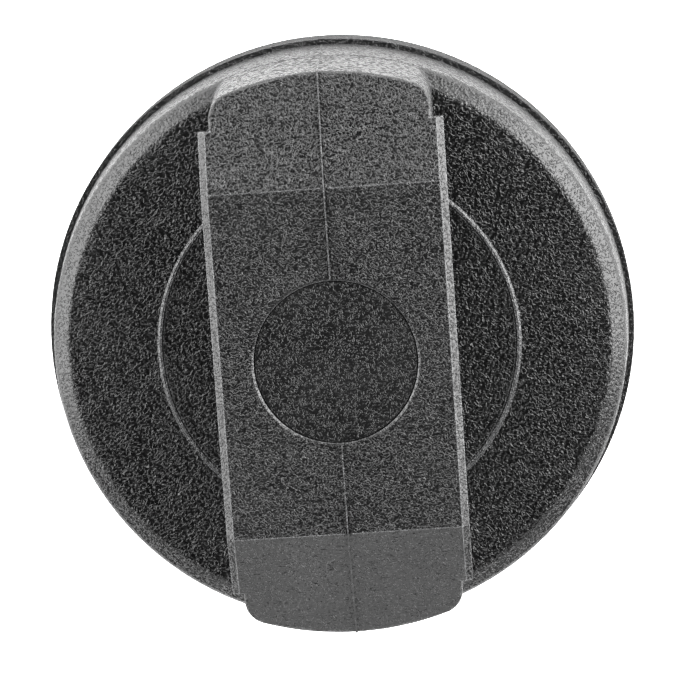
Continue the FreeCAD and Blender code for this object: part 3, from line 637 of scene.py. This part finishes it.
@dataclass(frozen=True)
class MouldedCover(Finish):
    """Grained black plastic of the cover, whose texture changes from surface to surface, with painted
    glints, painted highlights on its raised lines and edges, and painted shade in its pits.

    Attributes:
        face_grain: Grain size on the face and the walls, mm.
        bar_grain: Grain size on the bar, mm.
        bar_unevenness: How ragged the bar's grain is.
        depth: Depth of the grain, mm.
        relief: How strongly the grain shows.
        wall_depth: Depth added on the walls, as a share.
        smoothing: Share of the grain that the smooth surfaces lack.
        glint_flecks: How much the short strokes of the grain are painted paler, as painted glints.
        slope_glints: How much more of those painted glints are on the upper slope.
        lines: How much the raised lines are painted paler, as painted highlights.
        dusty: How much dust lies on it.
        edge_radius: Width of the edges that rubbing and a painted edge highlight make paler, mm.
        edge_wear_and_highlight: How much those edges take the palest colour.
        edge_pale: How many times as much they take the pale one.
        painted_pit_shade: Share of the main colour in the pits of the face, as painted shade.
        smudge_rough: Roughness added by smudges.
        wall_rough: Roughness added in the pits of the walls.
        rim_rough: Roughness added on the rim.
        pale: Colour of dust, and of the painted glints and painted highlights on lines and edges.
        worn_and_lit: Colour of the palest edges, from rubbing and a painted edge highlight.
    """

    face_grain: float = 0.54
    bar_grain: float = 0.44
    bar_unevenness: float = 0.5
    depth: float = 0.46
    relief: float = 0.9
    wall_depth: float = 1.2
    smoothing: float = 0.6
    glint_flecks: float = 0.15
    slope_glints: float = 0.4
    lines: float = 0.8
    dusty: float = 0.35
    edge_radius: float = 0.25
    edge_wear_and_highlight: float = 0.6
    edge_pale: float = 1.5
    painted_pit_shade: float = 0.55
    smudge_rough: float = 0.08
    wall_rough: float = 0.4
    rim_rough: float = 0.5
    pale: Colour = (0.115, 0.115, 0.117)
    worn_and_lit: Colour = (0.3, 0.3, 0.305)

    def build(self, effects: Effects) -> bpy.types.Material:
        """Make the material. See Finish.build."""
        material, sheet, shader = self.start()
        place, normal = self.surface(sheet)
        face = self.use(sheet, effects.grain, Vector=place, Size_mm=self.face_grain).outputs
        bar = self.use(sheet, effects.grain, Vector=place, Size_mm=self.bar_grain,
                       Unevenness=self.bar_unevenness).outputs
        zones = self.use(sheet, effects.zones, Vector=place, Normal=normal).outputs
        dust = self.use(sheet, effects.dust, Vector=place, Normal=normal, Amount=self.dusty).outputs
        wear_and_highlight = self.wear_and_edge_highlight(sheet, effects, place, normal, self.edge_radius)
        edges = sheet.times(wear_and_highlight, self.edge_wear_and_highlight, zones["Off seam"])
        kept = sheet.math("SUBTRACT", 1.0, sheet.times(zones["Smooth"], self.smoothing))
        colour = self._colour(sheet, face, bar, zones, kept, edges, dust["Dust"])
        sheet.feed(shader.inputs["Base Color"], colour)
        rough = sheet.math("MULTIPLY_ADD", dust["Smudge"], self.smudge_rough, self.rough)
        rough = sheet.math("MULTIPLY_ADD", sheet.times(face["Pits"], zones["Wall"]), self.wall_rough, rough)
        rough = sheet.math("MULTIPLY_ADD", zones["Rim"], self.rim_rough, rough, clamp=True)
        sheet.feed(shader.inputs["Roughness"], rough)
        height = sheet.add("ShaderNodeMix", data_type="FLOAT")
        sheet.feed(height.inputs[0], sheet.math("MAXIMUM", zones["Face"], zones["Wall"]))
        sheet.feed(height.inputs[2], bar["Height"])
        sheet.feed(height.inputs[3], face["Height"])
        deeper = sheet.math("MULTIPLY_ADD", zones["Wall"], self.wall_depth, 1.0)
        self.bump(sheet, shader, sheet.times(height.outputs[0], deeper, kept), self.relief, self.depth)
        return material

    def _colour(self, sheet: NodeSheet, face: Outputs, bar: Outputs, zones: Outputs, kept: Socket,
                edges: Socket, dust: Socket) -> Socket:
        """Colour the plastic: painted shade in the pits, pale strokes and lines as painted highlights,
        dust, and edges paler from rubbing and a painted edge highlight.

        Args:
            sheet: The material's sheet.
            face: Outputs of the face's grain.
            bar: Outputs of the bar's grain.
            zones: Masks of the surfaces.
            kept: Share of the grain that each surface keeps.
            edges: Mask of the edges paler from rubbing and a painted edge highlight.
            dust: Mask of the dust.

        Returns:
            The colour.
        """
        on_bar = sheet.math("MAXIMUM", zones["Bar top"], zones["Slope"])
        # Painted glints: pale strokes on the bar and the face, stronger on the upper slope.
        glint_flecks = sheet.math("ADD", sheet.times(bar["Painted glints"], on_bar),
                            sheet.times(face["Painted glints"], zones["Face"]), clamp=True)
        far_slope = sheet.math("SUBTRACT", zones["Slope"], zones["Smooth"], clamp=True)
        strength = sheet.math("MULTIPLY_ADD", far_slope, self.slope_glints, self.glint_flecks)
        # Painted highlights on the raised lines, with the painted glints.
        bright = sheet.math("MAXIMUM", sheet.times(glint_flecks, kept, strength),
                            sheet.times(zones["Seam"], self.lines))
        # Edges paler from rubbing and from a painted edge highlight, with the dust.
        pale_edges_and_dust = sheet.math("ADD", sheet.times(edges, self.edge_pale), dust, clamp=True)
        # Painted shade: the pits of the face's grain are darker.
        base = sheet.mix(sheet.times(face["Pits"], zones["Face"]), rgba(self.colour),
                         rgba(self.colour, self.painted_pit_shade))
        tinted = sheet.mix(sheet.math("MAXIMUM", pale_edges_and_dust, bright), base, rgba(self.pale))
        # The palest colour on the edges: rubbing and a painted edge highlight.
        return sheet.mix(edges, tinted, rgba(self.worn_and_lit))


@dataclass(frozen=True)
class PlainMoulding(Finish):
    """Plastic without the cover's zones: flow marks, a faint texture, dust, paler edges and pale strokes as
    painted glints.

    Attributes:
        pale: Colour of dust, of the paler edges and of the painted glints.
        grain: Size of the surface texture, mm.
        depth: Depth of that texture, mm.
        relief: How strongly it shows.
        dusty: How much dust lies on it.
        glint_flecks: How much the short strokes of the grain are painted paler, as painted glints.
        edge_radius: Width of the paler edges, mm.
        edge_pale: How much they take the pale colour.
        flow_scale: Scale of the flow marks.
        flow_shade: Share of the main colour in the darkest of them.
        smudge_rough: Roughness added by smudges.
    """

    pale: Colour = (0.2, 0.2, 0.2)
    grain: float = 0.5
    depth: float = 0.02
    relief: float = 0.5
    dusty: float = 0.3
    glint_flecks: float = 0.0
    edge_radius: float = 0.2
    edge_pale: float = 0.4
    flow_scale: float = 140.0
    flow_shade: float = 0.8
    smudge_rough: float = 0.12

    def build(self, effects: Effects) -> bpy.types.Material:
        """Make the material. See Finish.build."""
        material, sheet, shader = self.start()
        place, normal = self.surface(sheet)
        grain = self.use(sheet, effects.grain, Vector=place, Size_mm=self.grain).outputs
        dust = self.use(sheet, effects.dust, Vector=place, Normal=normal, Amount=self.dusty).outputs
        wear_and_highlight = self.wear_and_edge_highlight(sheet, effects, place, normal, self.edge_radius)
        # Paler edges and dust, with pale strokes of the grain as painted glints.
        pale_edges_and_dust = sheet.math("ADD", sheet.times(wear_and_highlight, self.edge_pale), dust["Dust"], clamp=True)
        pale = sheet.math("MAXIMUM", pale_edges_and_dust, sheet.times(grain["Painted glints"], self.glint_flecks))
        base = sheet.mix(sheet.noise(place, self.flow_scale, 3.0), rgba(self.colour, self.flow_shade),
                         rgba(self.colour))
        sheet.feed(shader.inputs["Base Color"], sheet.mix(pale, base, rgba(self.pale)))
        sheet.feed(shader.inputs["Roughness"],
                   sheet.math("MULTIPLY_ADD", dust["Smudge"], self.smudge_rough, self.rough))
        self.bump(sheet, shader, grain["Height"], self.relief, self.depth)
        return material


@dataclass(frozen=True)
class Rubber(Finish):
    """Fuel-proof rubber with bloom and a fine skin.

    Attributes:
        bloom: Colour of the bloom.
        grain: Size of the skin's texture, mm.
        depth: Depth of that texture, mm.
        relief: How strongly it shows.
        dusty: How much dust lies on it.
        cloudy: How much the bloom covers.
        smudge_rough: Roughness added by smudges.
    """

    bloom: Colour = (0.09, 0.088, 0.085)
    grain: float = 0.25
    depth: float = 0.02
    relief: float = 0.35
    dusty: float = 0.4
    cloudy: float = 0.4
    smudge_rough: float = 0.15

    def build(self, effects: Effects) -> bpy.types.Material:
        """Make the material. See Finish.build."""
        material, sheet, shader = self.start()
        place, normal = self.surface(sheet)
        grain = self.use(sheet, effects.grain, Vector=place, Size_mm=self.grain).outputs
        dust = self.use(sheet, effects.dust, Vector=place, Normal=normal, Amount=self.dusty).outputs
        spotted = sheet.math("ADD", sheet.times(dust["Smudge"], self.cloudy), dust["Dust"], clamp=True)
        sheet.feed(shader.inputs["Base Color"], sheet.mix(spotted, rgba(self.colour), rgba(self.bloom)))
        sheet.feed(shader.inputs["Roughness"],
                   sheet.math("MULTIPLY_ADD", dust["Smudge"], self.smudge_rough, self.rough))
        self.bump(sheet, shader, grain["Height"], self.relief, self.depth)
        return material


@dataclass(frozen=True)
class Steel(Finish):
    """Drawn or stamped steel.

    Attributes:
        stain: Colour of the stains.
        line_rough: Roughness added by the drawing lines.
        depth: Depth of those lines, mm.
        relief: How strongly they show.
    """

    stain: Colour = (0.3, 0.28, 0.25)
    line_rough: float = 0.25
    depth: float = 0.01
    relief: float = 0.3

    def build(self, effects: Effects) -> bpy.types.Material:
        """Make the material. See Finish.build."""
        material, sheet, shader = self.start()
        place = sheet.add("ShaderNodeTexCoord").outputs["Object"]
        drawn = self.use(sheet, effects.drawn, Vector=place).outputs
        shader.inputs["Metallic"].default_value = 1.0
        sheet.feed(shader.inputs["Base Color"],
                   sheet.mix(drawn["Stain"], rgba(self.colour), rgba(self.stain)))
        sheet.feed(shader.inputs["Roughness"],
                   sheet.math("MULTIPLY_ADD", drawn["Lines"], self.line_rough, self.rough))
        self.bump(sheet, shader, drawn["Lines"], self.relief, self.depth)
        return material


@dataclass(frozen=True)
class WireMesh(Finish):
    """Fine woven wire of the filter.

    Attributes:
        pitch: Distance between wires, mm.
        depth: Depth of the weave, mm.
        relief: How strongly it shows.
        gap_shade: Colour of the gaps between the wires, painted dark as shade seen through them.
    """

    pitch: float = 0.5
    depth: float = 0.12
    relief: float = 0.8
    gap_shade: Colour = (0.01, 0.01, 0.01)

    def build(self, effects: Effects) -> bpy.types.Material:
        """Make the material. See Finish.build."""
        material, sheet, shader = self.start()
        place = sheet.add("ShaderNodeTexCoord").outputs["Object"]
        weave = self.use(sheet, effects.weave, Vector=place, Pitch_mm=self.pitch).outputs
        sheet.feed(shader.inputs["Metallic"], sheet.math("SUBTRACT", 1.0, weave["Gaps"]))
        # Painted shade: the gaps between the wires are dark.
        sheet.feed(shader.inputs["Base Color"], sheet.mix(weave["Gaps"], rgba(self.colour), rgba(self.gap_shade)))
        self.bump(sheet, shader, weave["Height"], self.relief, self.depth)
        return material


@dataclass(frozen=True)
class Backdrop(Finish):
    """Plain pale table lit from below, and clear when seen from under it.

    Attributes:
        glow: Strength of the light from the table.
    """

    glow: float = 1.5

    def build(self, effects: Effects) -> bpy.types.Material:
        """Make the material. See Finish.build."""
        material, sheet, shader = self.start()
        under = sheet.add("ShaderNodeNewGeometry").outputs["Backfacing"]
        sheet.feed(shader.inputs["Alpha"], sheet.math("SUBTRACT", 1.0, under))
        shader.inputs["Emission Color"].default_value = rgba(WHITE)
        shader.inputs["Emission Strength"].default_value = self.glow
        return material


class Finishes:
    """Every material of the cap, made once."""

    def __init__(self, effects: Effects) -> None:
        """Build the materials.

        Args:
            effects: The shared node groups.
        """
        black = (0.0025, 0.0025, 0.0026)
        self.cover = MouldedCover("grained_black_plastic", black, 0.26).build(effects)
        self.disc = PlainMoulding("fine_black_plastic", black, 0.26, grain=0.38, depth=0.30, dusty=0.1,
                                  pale=(0.05, 0.05, 0.05), glint_flecks=0.15).build(effects)
        self.ring = PlainMoulding("dark_plastic", (0.035, 0.035, 0.037), 0.4).build(effects)
        self.plug = PlainMoulding("smooth_black_plastic", (0.02, 0.02, 0.021), 0.3,
                                  depth=0.01).build(effects)
        self.acetal = PlainMoulding("natural_acetal", (0.62, 0.59, 0.52), 0.35, depth=0.008,
                                    pale=(0.75, 0.73, 0.68)).build(effects)
        self.rubber = Rubber("fuel_rubber", (0.022, 0.022, 0.022), 0.62).build(effects)
        self.steel = Steel("spring_steel", (0.56, 0.56, 0.57), 0.22).build(effects)
        self.mesh = WireMesh("woven_wire", (0.5, 0.5, 0.5), 0.35).build(effects)


# ----------------------------------------------------------------- modelling


def clear_selection() -> None:
    """Leave object mode with nothing selected."""
    if bpy.context.object and bpy.context.object.mode != "OBJECT":
        bpy.ops.object.mode_set(mode="OBJECT")
    bpy.ops.object.select_all(action="DESELECT")


def edit(piece: bpy.types.Object) -> None:
    """Select one piece and open it in edit mode with nothing picked."""
    clear_selection()
    bpy.context.view_layer.objects.active = piece
    piece.select_set(True)
    bpy.ops.object.mode_set(mode="EDIT")
    bpy.ops.mesh.select_all(action="DESELECT")


def settle(piece: bpy.types.Object) -> bpy.types.Object:
    """Apply a piece's place, turn and modifiers so that its object sits at the origin.

    Args:
        piece: The piece to settle.

    Returns:
        The same piece.
    """
    clear_selection()
    bpy.context.view_layer.objects.active = piece
    piece.select_set(True)
    for modifier in list(piece.modifiers):
        bpy.ops.object.modifier_apply(modifier=modifier.name)
    bpy.ops.object.transform_apply(location=True, rotation=True, scale=True)
    return piece


@dataclass
class CoilSpring:
    """Round-wire compression spring with closed ends.

    Attributes:
        name: Piece name.
        low: Height of its lower end.
        high: Height of its upper end.
        mean_radius: Radius to the middle of the wire.
        wire_radius: Radius of the wire.
        turns: Turns between the two ends.
        steps: Sections per turn.
        facets: Sides of the wire's section.
        lead: Share of the wire at each end that lies nearly flat.
        lift: Rise of such an end, in radii of the wire.
        ease: How much the pitch grows towards the middle.
    """

    name: str
    low: float
    high: float
    mean_radius: float
    wire_radius: float
    turns: float
    steps: int = 36
    facets: int = 10
    lead: float = 0.12
    lift: float = 0.4
    ease: float = 0.35

    def height_at(self, share: float) -> float:
        """Find the height of the wire's middle.

        Args:
            share: How far along the wire, from 0 to 1.

        Returns:
            The height, which changes least at both ends.
        """
        inner = max(0.0, min(1.0, (share - self.lead) / (1.0 - 2.0 * self.lead)))
        smooth = inner * inner * (3.0 - 2.0 * inner)
        eased = smooth * self.ease + inner * (1.0 - self.ease)
        rise = self.wire_radius * self.lift
        bottom = self.low + self.wire_radius + min(share / self.lead, 1.0) * rise
        top = self.high - self.wire_radius - min((1.0 - share) / self.lead, 1.0) * rise
        return bottom + (top - bottom) * eased

    def build(self) -> bpy.types.Object:
        """Model the spring from one wire section that is extruded along the coil.

        Returns:
            The spring, as a closed mesh.
        """
        clear_selection()
        bpy.ops.mesh.primitive_circle_add(vertices=self.facets, radius=self.wire_radius,
                                          fill_type="NOTHING",
                                          location=(self.mean_radius, 0.0, self.height_at(0.0)),
                                          rotation=(math.pi / 2, 0.0, 0.0))
        spring = bpy.context.object
        spring.name = self.name
        spring.data.name = self.name
        bpy.ops.object.transform_apply(location=True, rotation=True, scale=True)
        edit(spring)
        bpy.ops.mesh.select_all(action="SELECT")
        count = int(self.turns * self.steps)
        angle = 2.0 * math.pi * self.turns / count
        for step in range(count):
            rise = self.height_at((step + 1) / count) - self.height_at(step / count)
            bpy.ops.mesh.extrude_region_move(TRANSFORM_OT_translate={"value": (0.0, 0.0, rise)})
            bpy.ops.transform.rotate(value=-angle, orient_axis="Z", orient_type="GLOBAL",
                                     center_override=(0.0, 0.0, 0.0))
        self._close(spring)
        bpy.ops.object.mode_set(mode="OBJECT")
        bpy.ops.object.shade_smooth_by_angle(angle=SMOOTH_ANGLE)
        return settle(spring)

    @staticmethod
    def _close(spring: bpy.types.Object) -> None:
        """Cap both cut ends of the wire and turn every face outwards."""
        bpy.ops.mesh.select_all(action="DESELECT")
        bpy.ops.mesh.select_mode(type="EDGE")
        bpy.ops.mesh.select_non_manifold(extend=False)
        bpy.ops.mesh.edge_face_add()
        bpy.ops.mesh.select_all(action="SELECT")
        bpy.ops.mesh.normals_make_consistent(inside=False)


# -------------------------------------------------------------- sub-assemblies


def dress(node: str, material: bpy.types.Material) -> None:
    """Give a CAD node one material.

    Args:
        node: The node's name.
        material: Its new material.
    """
    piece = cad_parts[node]
    if not piece.data.materials:
        piece.data.materials.append(material)
    for slot in range(len(piece.data.materials)):
        piece.data.materials[slot] = material
    LOG.info("dressed %s with %s", node, material.name)


@dataclass
class Grip:
    """The part in the hand: cover with its bar, blanking disc and what snaps inside.

    Attributes:
        finishes: The materials.
    """

    finishes: Finishes

    def build(self) -> None:
        """Dress the grip's nodes."""
        dress("grip_cover", self.finishes.cover)
        dress("blank_disc", self.finishes.disc)
        dress("tooth_ring", self.finishes.acetal)
        dress("retaining_ring", self.finishes.ring)
        dress("spring_washer", self.finishes.steel)


@dataclass
class Plug:
    """The part in the neck: threaded body, seal and valve housing.

    Attributes:
        finishes: The materials.
    """

    finishes: Finishes

    def build(self) -> None:
        """Dress the plug's nodes."""
        for node in ("plug_body", "plug_lid"):
            dress(node, self.finishes.plug)
        dress("pawl_ring", self.finishes.acetal)
        dress("valve_housing", self.finishes.acetal)
        dress("splash_guard", self.finishes.ring)
        dress("spring_cap", self.finishes.steel)
        for node in ("seal_ring", "housing_o_ring"):
            dress(node, self.finishes.rubber)
        dress("filter_disc", self.finishes.mesh)


@dataclass
class Valves:
    """Pressure valve, vacuum valve and their springs.

    Attributes:
        finishes: The materials.
        pressure_travel: Lift of the pressure valve. Not used.
        vacuum_travel: Drop of the vacuum valve. Not used.
        pressure_wire: Wire radius of the pressure valve's spring.
        vacuum_wire: Wire radius of the vacuum valve's spring.
        pressure_turns: Turns of the pressure valve's spring.
        vacuum_turns: Turns of the vacuum valve's spring.
    """

    finishes: Finishes
    pressure_travel: float = 2.5 * MM
    vacuum_travel: float = 1.5 * MM
    pressure_wire: float = 0.6 * MM
    vacuum_wire: float = 0.25 * MM
    pressure_turns: float = 4.0
    vacuum_turns: float = 3.5

    def build(self) -> None:
        """Dress the valves and model both springs."""
        dress("pressure_plate", self.finishes.acetal)
        dress("valve_seal", self.finishes.rubber)
        dress("vacuum_poppet", self.finishes.acetal)
        dress("stem_clip", self.finishes.steel)
        self._spring("pressure_spring", Body.PLUG,
                     self.pressure_wire, self.pressure_turns)
        self._spring("vacuum_spring", Body.PRESSURE_VALVE,
                     self.vacuum_wire, self.vacuum_turns)

    def _spring(self, node: str, body: Body, wire: float, turns: float) -> None:
        """Model one spring where its CAD node is and hang it on the body that carries it.

        Args:
            node: The CAD node that it replaces.
            body: The body that carries it.
            wire: Radius of the wire.
            turns: Turns of the spring.
        """
        low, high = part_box(node)
        mean = (high.y - low.y) / 2 - wire
        spring = CoilSpring(node + "_coil", low.z, high.z, mean, wire, turns).build()
        spring.data.materials.append(self.finishes.steel)
        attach(spring, body.value)
        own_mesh(spring)
        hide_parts(node)
        LOG.info("modelled %s", spring.name)


# -------------------------------------------------------------------- studio


@dataclass
class Studio:
    """Pale floor, soft lights and the camera.

    Attributes:
        distance: From the camera to the cover.
        tilt: Angle between the view and the cap's axis, degrees.
        swing: Turn of that tilt about the axis, degrees.
        roll: Lean of the bar in the picture, degrees.
        lens: Focal length, mm.
        shift: Place of the view's middle beside the axis, mm.
        focus_height: Height on the axis that the camera and the lights face.
        floor_drop: Depth of the floor under the seal plane.
        floor_size: Side of the floor.
        room: Light of the dark room.
        seen: How pale the camera sees it.
    """

    distance: float = 0.460
    tilt: float = 9.4
    swing: float = 9.81
    roll: float = 3.85
    lens: float = 169.6
    shift: tuple[float, float] = (-1.43, -0.695)
    focus_height: float = 0.010
    floor_drop: float = 0.0335
    floor_size: float = 6.0
    room: float = 0.02
    seen: float = 0.95

    def build(self, effects: Effects) -> None:
        """Set up the whole studio.

        Args:
            effects: The shared node groups.
        """
        self._floor(effects)
        self._camera()
        self._lights()
        self._world()

    def _floor(self, effects: Effects) -> None:
        """Lay a wide pale floor under the plug.

        Args:
            effects: The shared node groups.
        """
        clear_selection()
        bpy.ops.mesh.primitive_plane_add(size=self.floor_size, location=(0.0, 0.0, -self.floor_drop))
        floor = bpy.context.object
        floor.name = "floor"
        bpy.ops.object.transform_apply(location=True, rotation=True, scale=True)
        floor.data.materials.append(Backdrop("pale_floor", (0.9, 0.9, 0.9), 0.6).build(effects))

    def _camera(self) -> None:
        """Camera nearly along the cap's axis, with the bar leaning a little."""
        clear_selection()
        bpy.ops.object.camera_add()
        camera = bpy.context.object
        swing = Matrix.Rotation(math.radians(self.swing), 3, "Z")
        tilt = Matrix.Rotation(math.radians(self.tilt), 3, "X")
        to_cap = (swing.transposed() @ tilt @ swing).transposed()
        across, along = self.shift
        eye = to_cap @ Vector((-across * MM, -along * MM, self.distance))
        lean = Matrix.Rotation(-math.radians(self.roll), 3, "Z")
        place = lean @ eye + Vector((0.0, 0.0, self.focus_height))
        look = (lean @ to_cap).to_4x4()
        camera.matrix_world = Matrix.Translation(place) @ look
        camera.data.lens = self.lens
        camera.data.sensor_width = SENSOR_WIDTH
        camera.data.sensor_fit = "HORIZONTAL"
        camera.data.clip_start = 0.01
        camera.data.dof.use_dof = False
        bpy.context.scene.camera = camera
        LOG.info("camera at %s", tuple(round(part, 4) for part in place))

    def _light(self, name: str, place: Sequence[float], size: tuple[float, float], power: float) -> None:
        """Place one soft rectangular light aimed at the cap.

        Args:
            name: The light's name.
            place: Where it stands.
            size: Its width and height.
            power: Its power, W.
        """
        clear_selection()
        bpy.ops.object.light_add(type="AREA", location=place)
        light = bpy.context.object
        light.name = name
        light.data.shape = "RECTANGLE"
        light.data.size, light.data.size_y = size
        light.data.energy = power
        aim = (Vector((0.0, 0.0, self.focus_height)) - Vector(place)).to_track_quat("-Z", "Y")
        light.rotation_euler = aim.to_euler()

    def _lights(self) -> None:
        """Panels on four sides; the low far one lights the floor under the rim."""
        self._light("near_panel", (0.0, -0.95, 0.75), (1.3, 0.8), 9.0)
        self._light("left_panel", (-0.95, 0.25, 0.43), (1.4, 0.8), 31.0)
        self._light("right_panel", (0.95, 0.3, 0.45), (1.4, 0.8), 45.0)
        self._light("far_panel", (0.0, 0.7, 0.14), (1.4, 0.24), 7.0)

    def _world(self) -> None:
        """Dark room that the camera sees as pale."""
        world = bpy.data.worlds.new("studio")
        world.use_nodes = True
        tree = world.node_tree
        room = tree.nodes["Background"]
        room.inputs[0].default_value = rgba(WHITE)
        room.inputs[1].default_value = self.room
        seen = tree.nodes.new("ShaderNodeBackground")
        seen.inputs[0].default_value = rgba(WHITE, self.seen)
        seen.inputs[1].default_value = 1.0
        path = tree.nodes.new("ShaderNodeLightPath")
        choice = tree.nodes.new("ShaderNodeMixShader")
        tree.links.new(path.outputs["Is Camera Ray"], choice.inputs[0])
        tree.links.new(room.outputs[0], choice.inputs[1])
        tree.links.new(seen.outputs[0], choice.inputs[2])
        tree.links.new(choice.outputs[0], tree.nodes["World Output"].inputs[0])
        bpy.context.scene.world = world
        bpy.context.scene.view_settings.view_transform = "Standard"


def main() -> None:
    """Build every sub-assembly in order."""
    logging.basicConfig(level=logging.INFO, format="%(name)s: %(message)s")
    effects = Effects()
    finishes = Finishes(effects)
    Grip(finishes).build()
    Plug(finishes).build()
    Valves(finishes).build()
    Studio().build(effects)


if __name__ == "__main__":
    main()
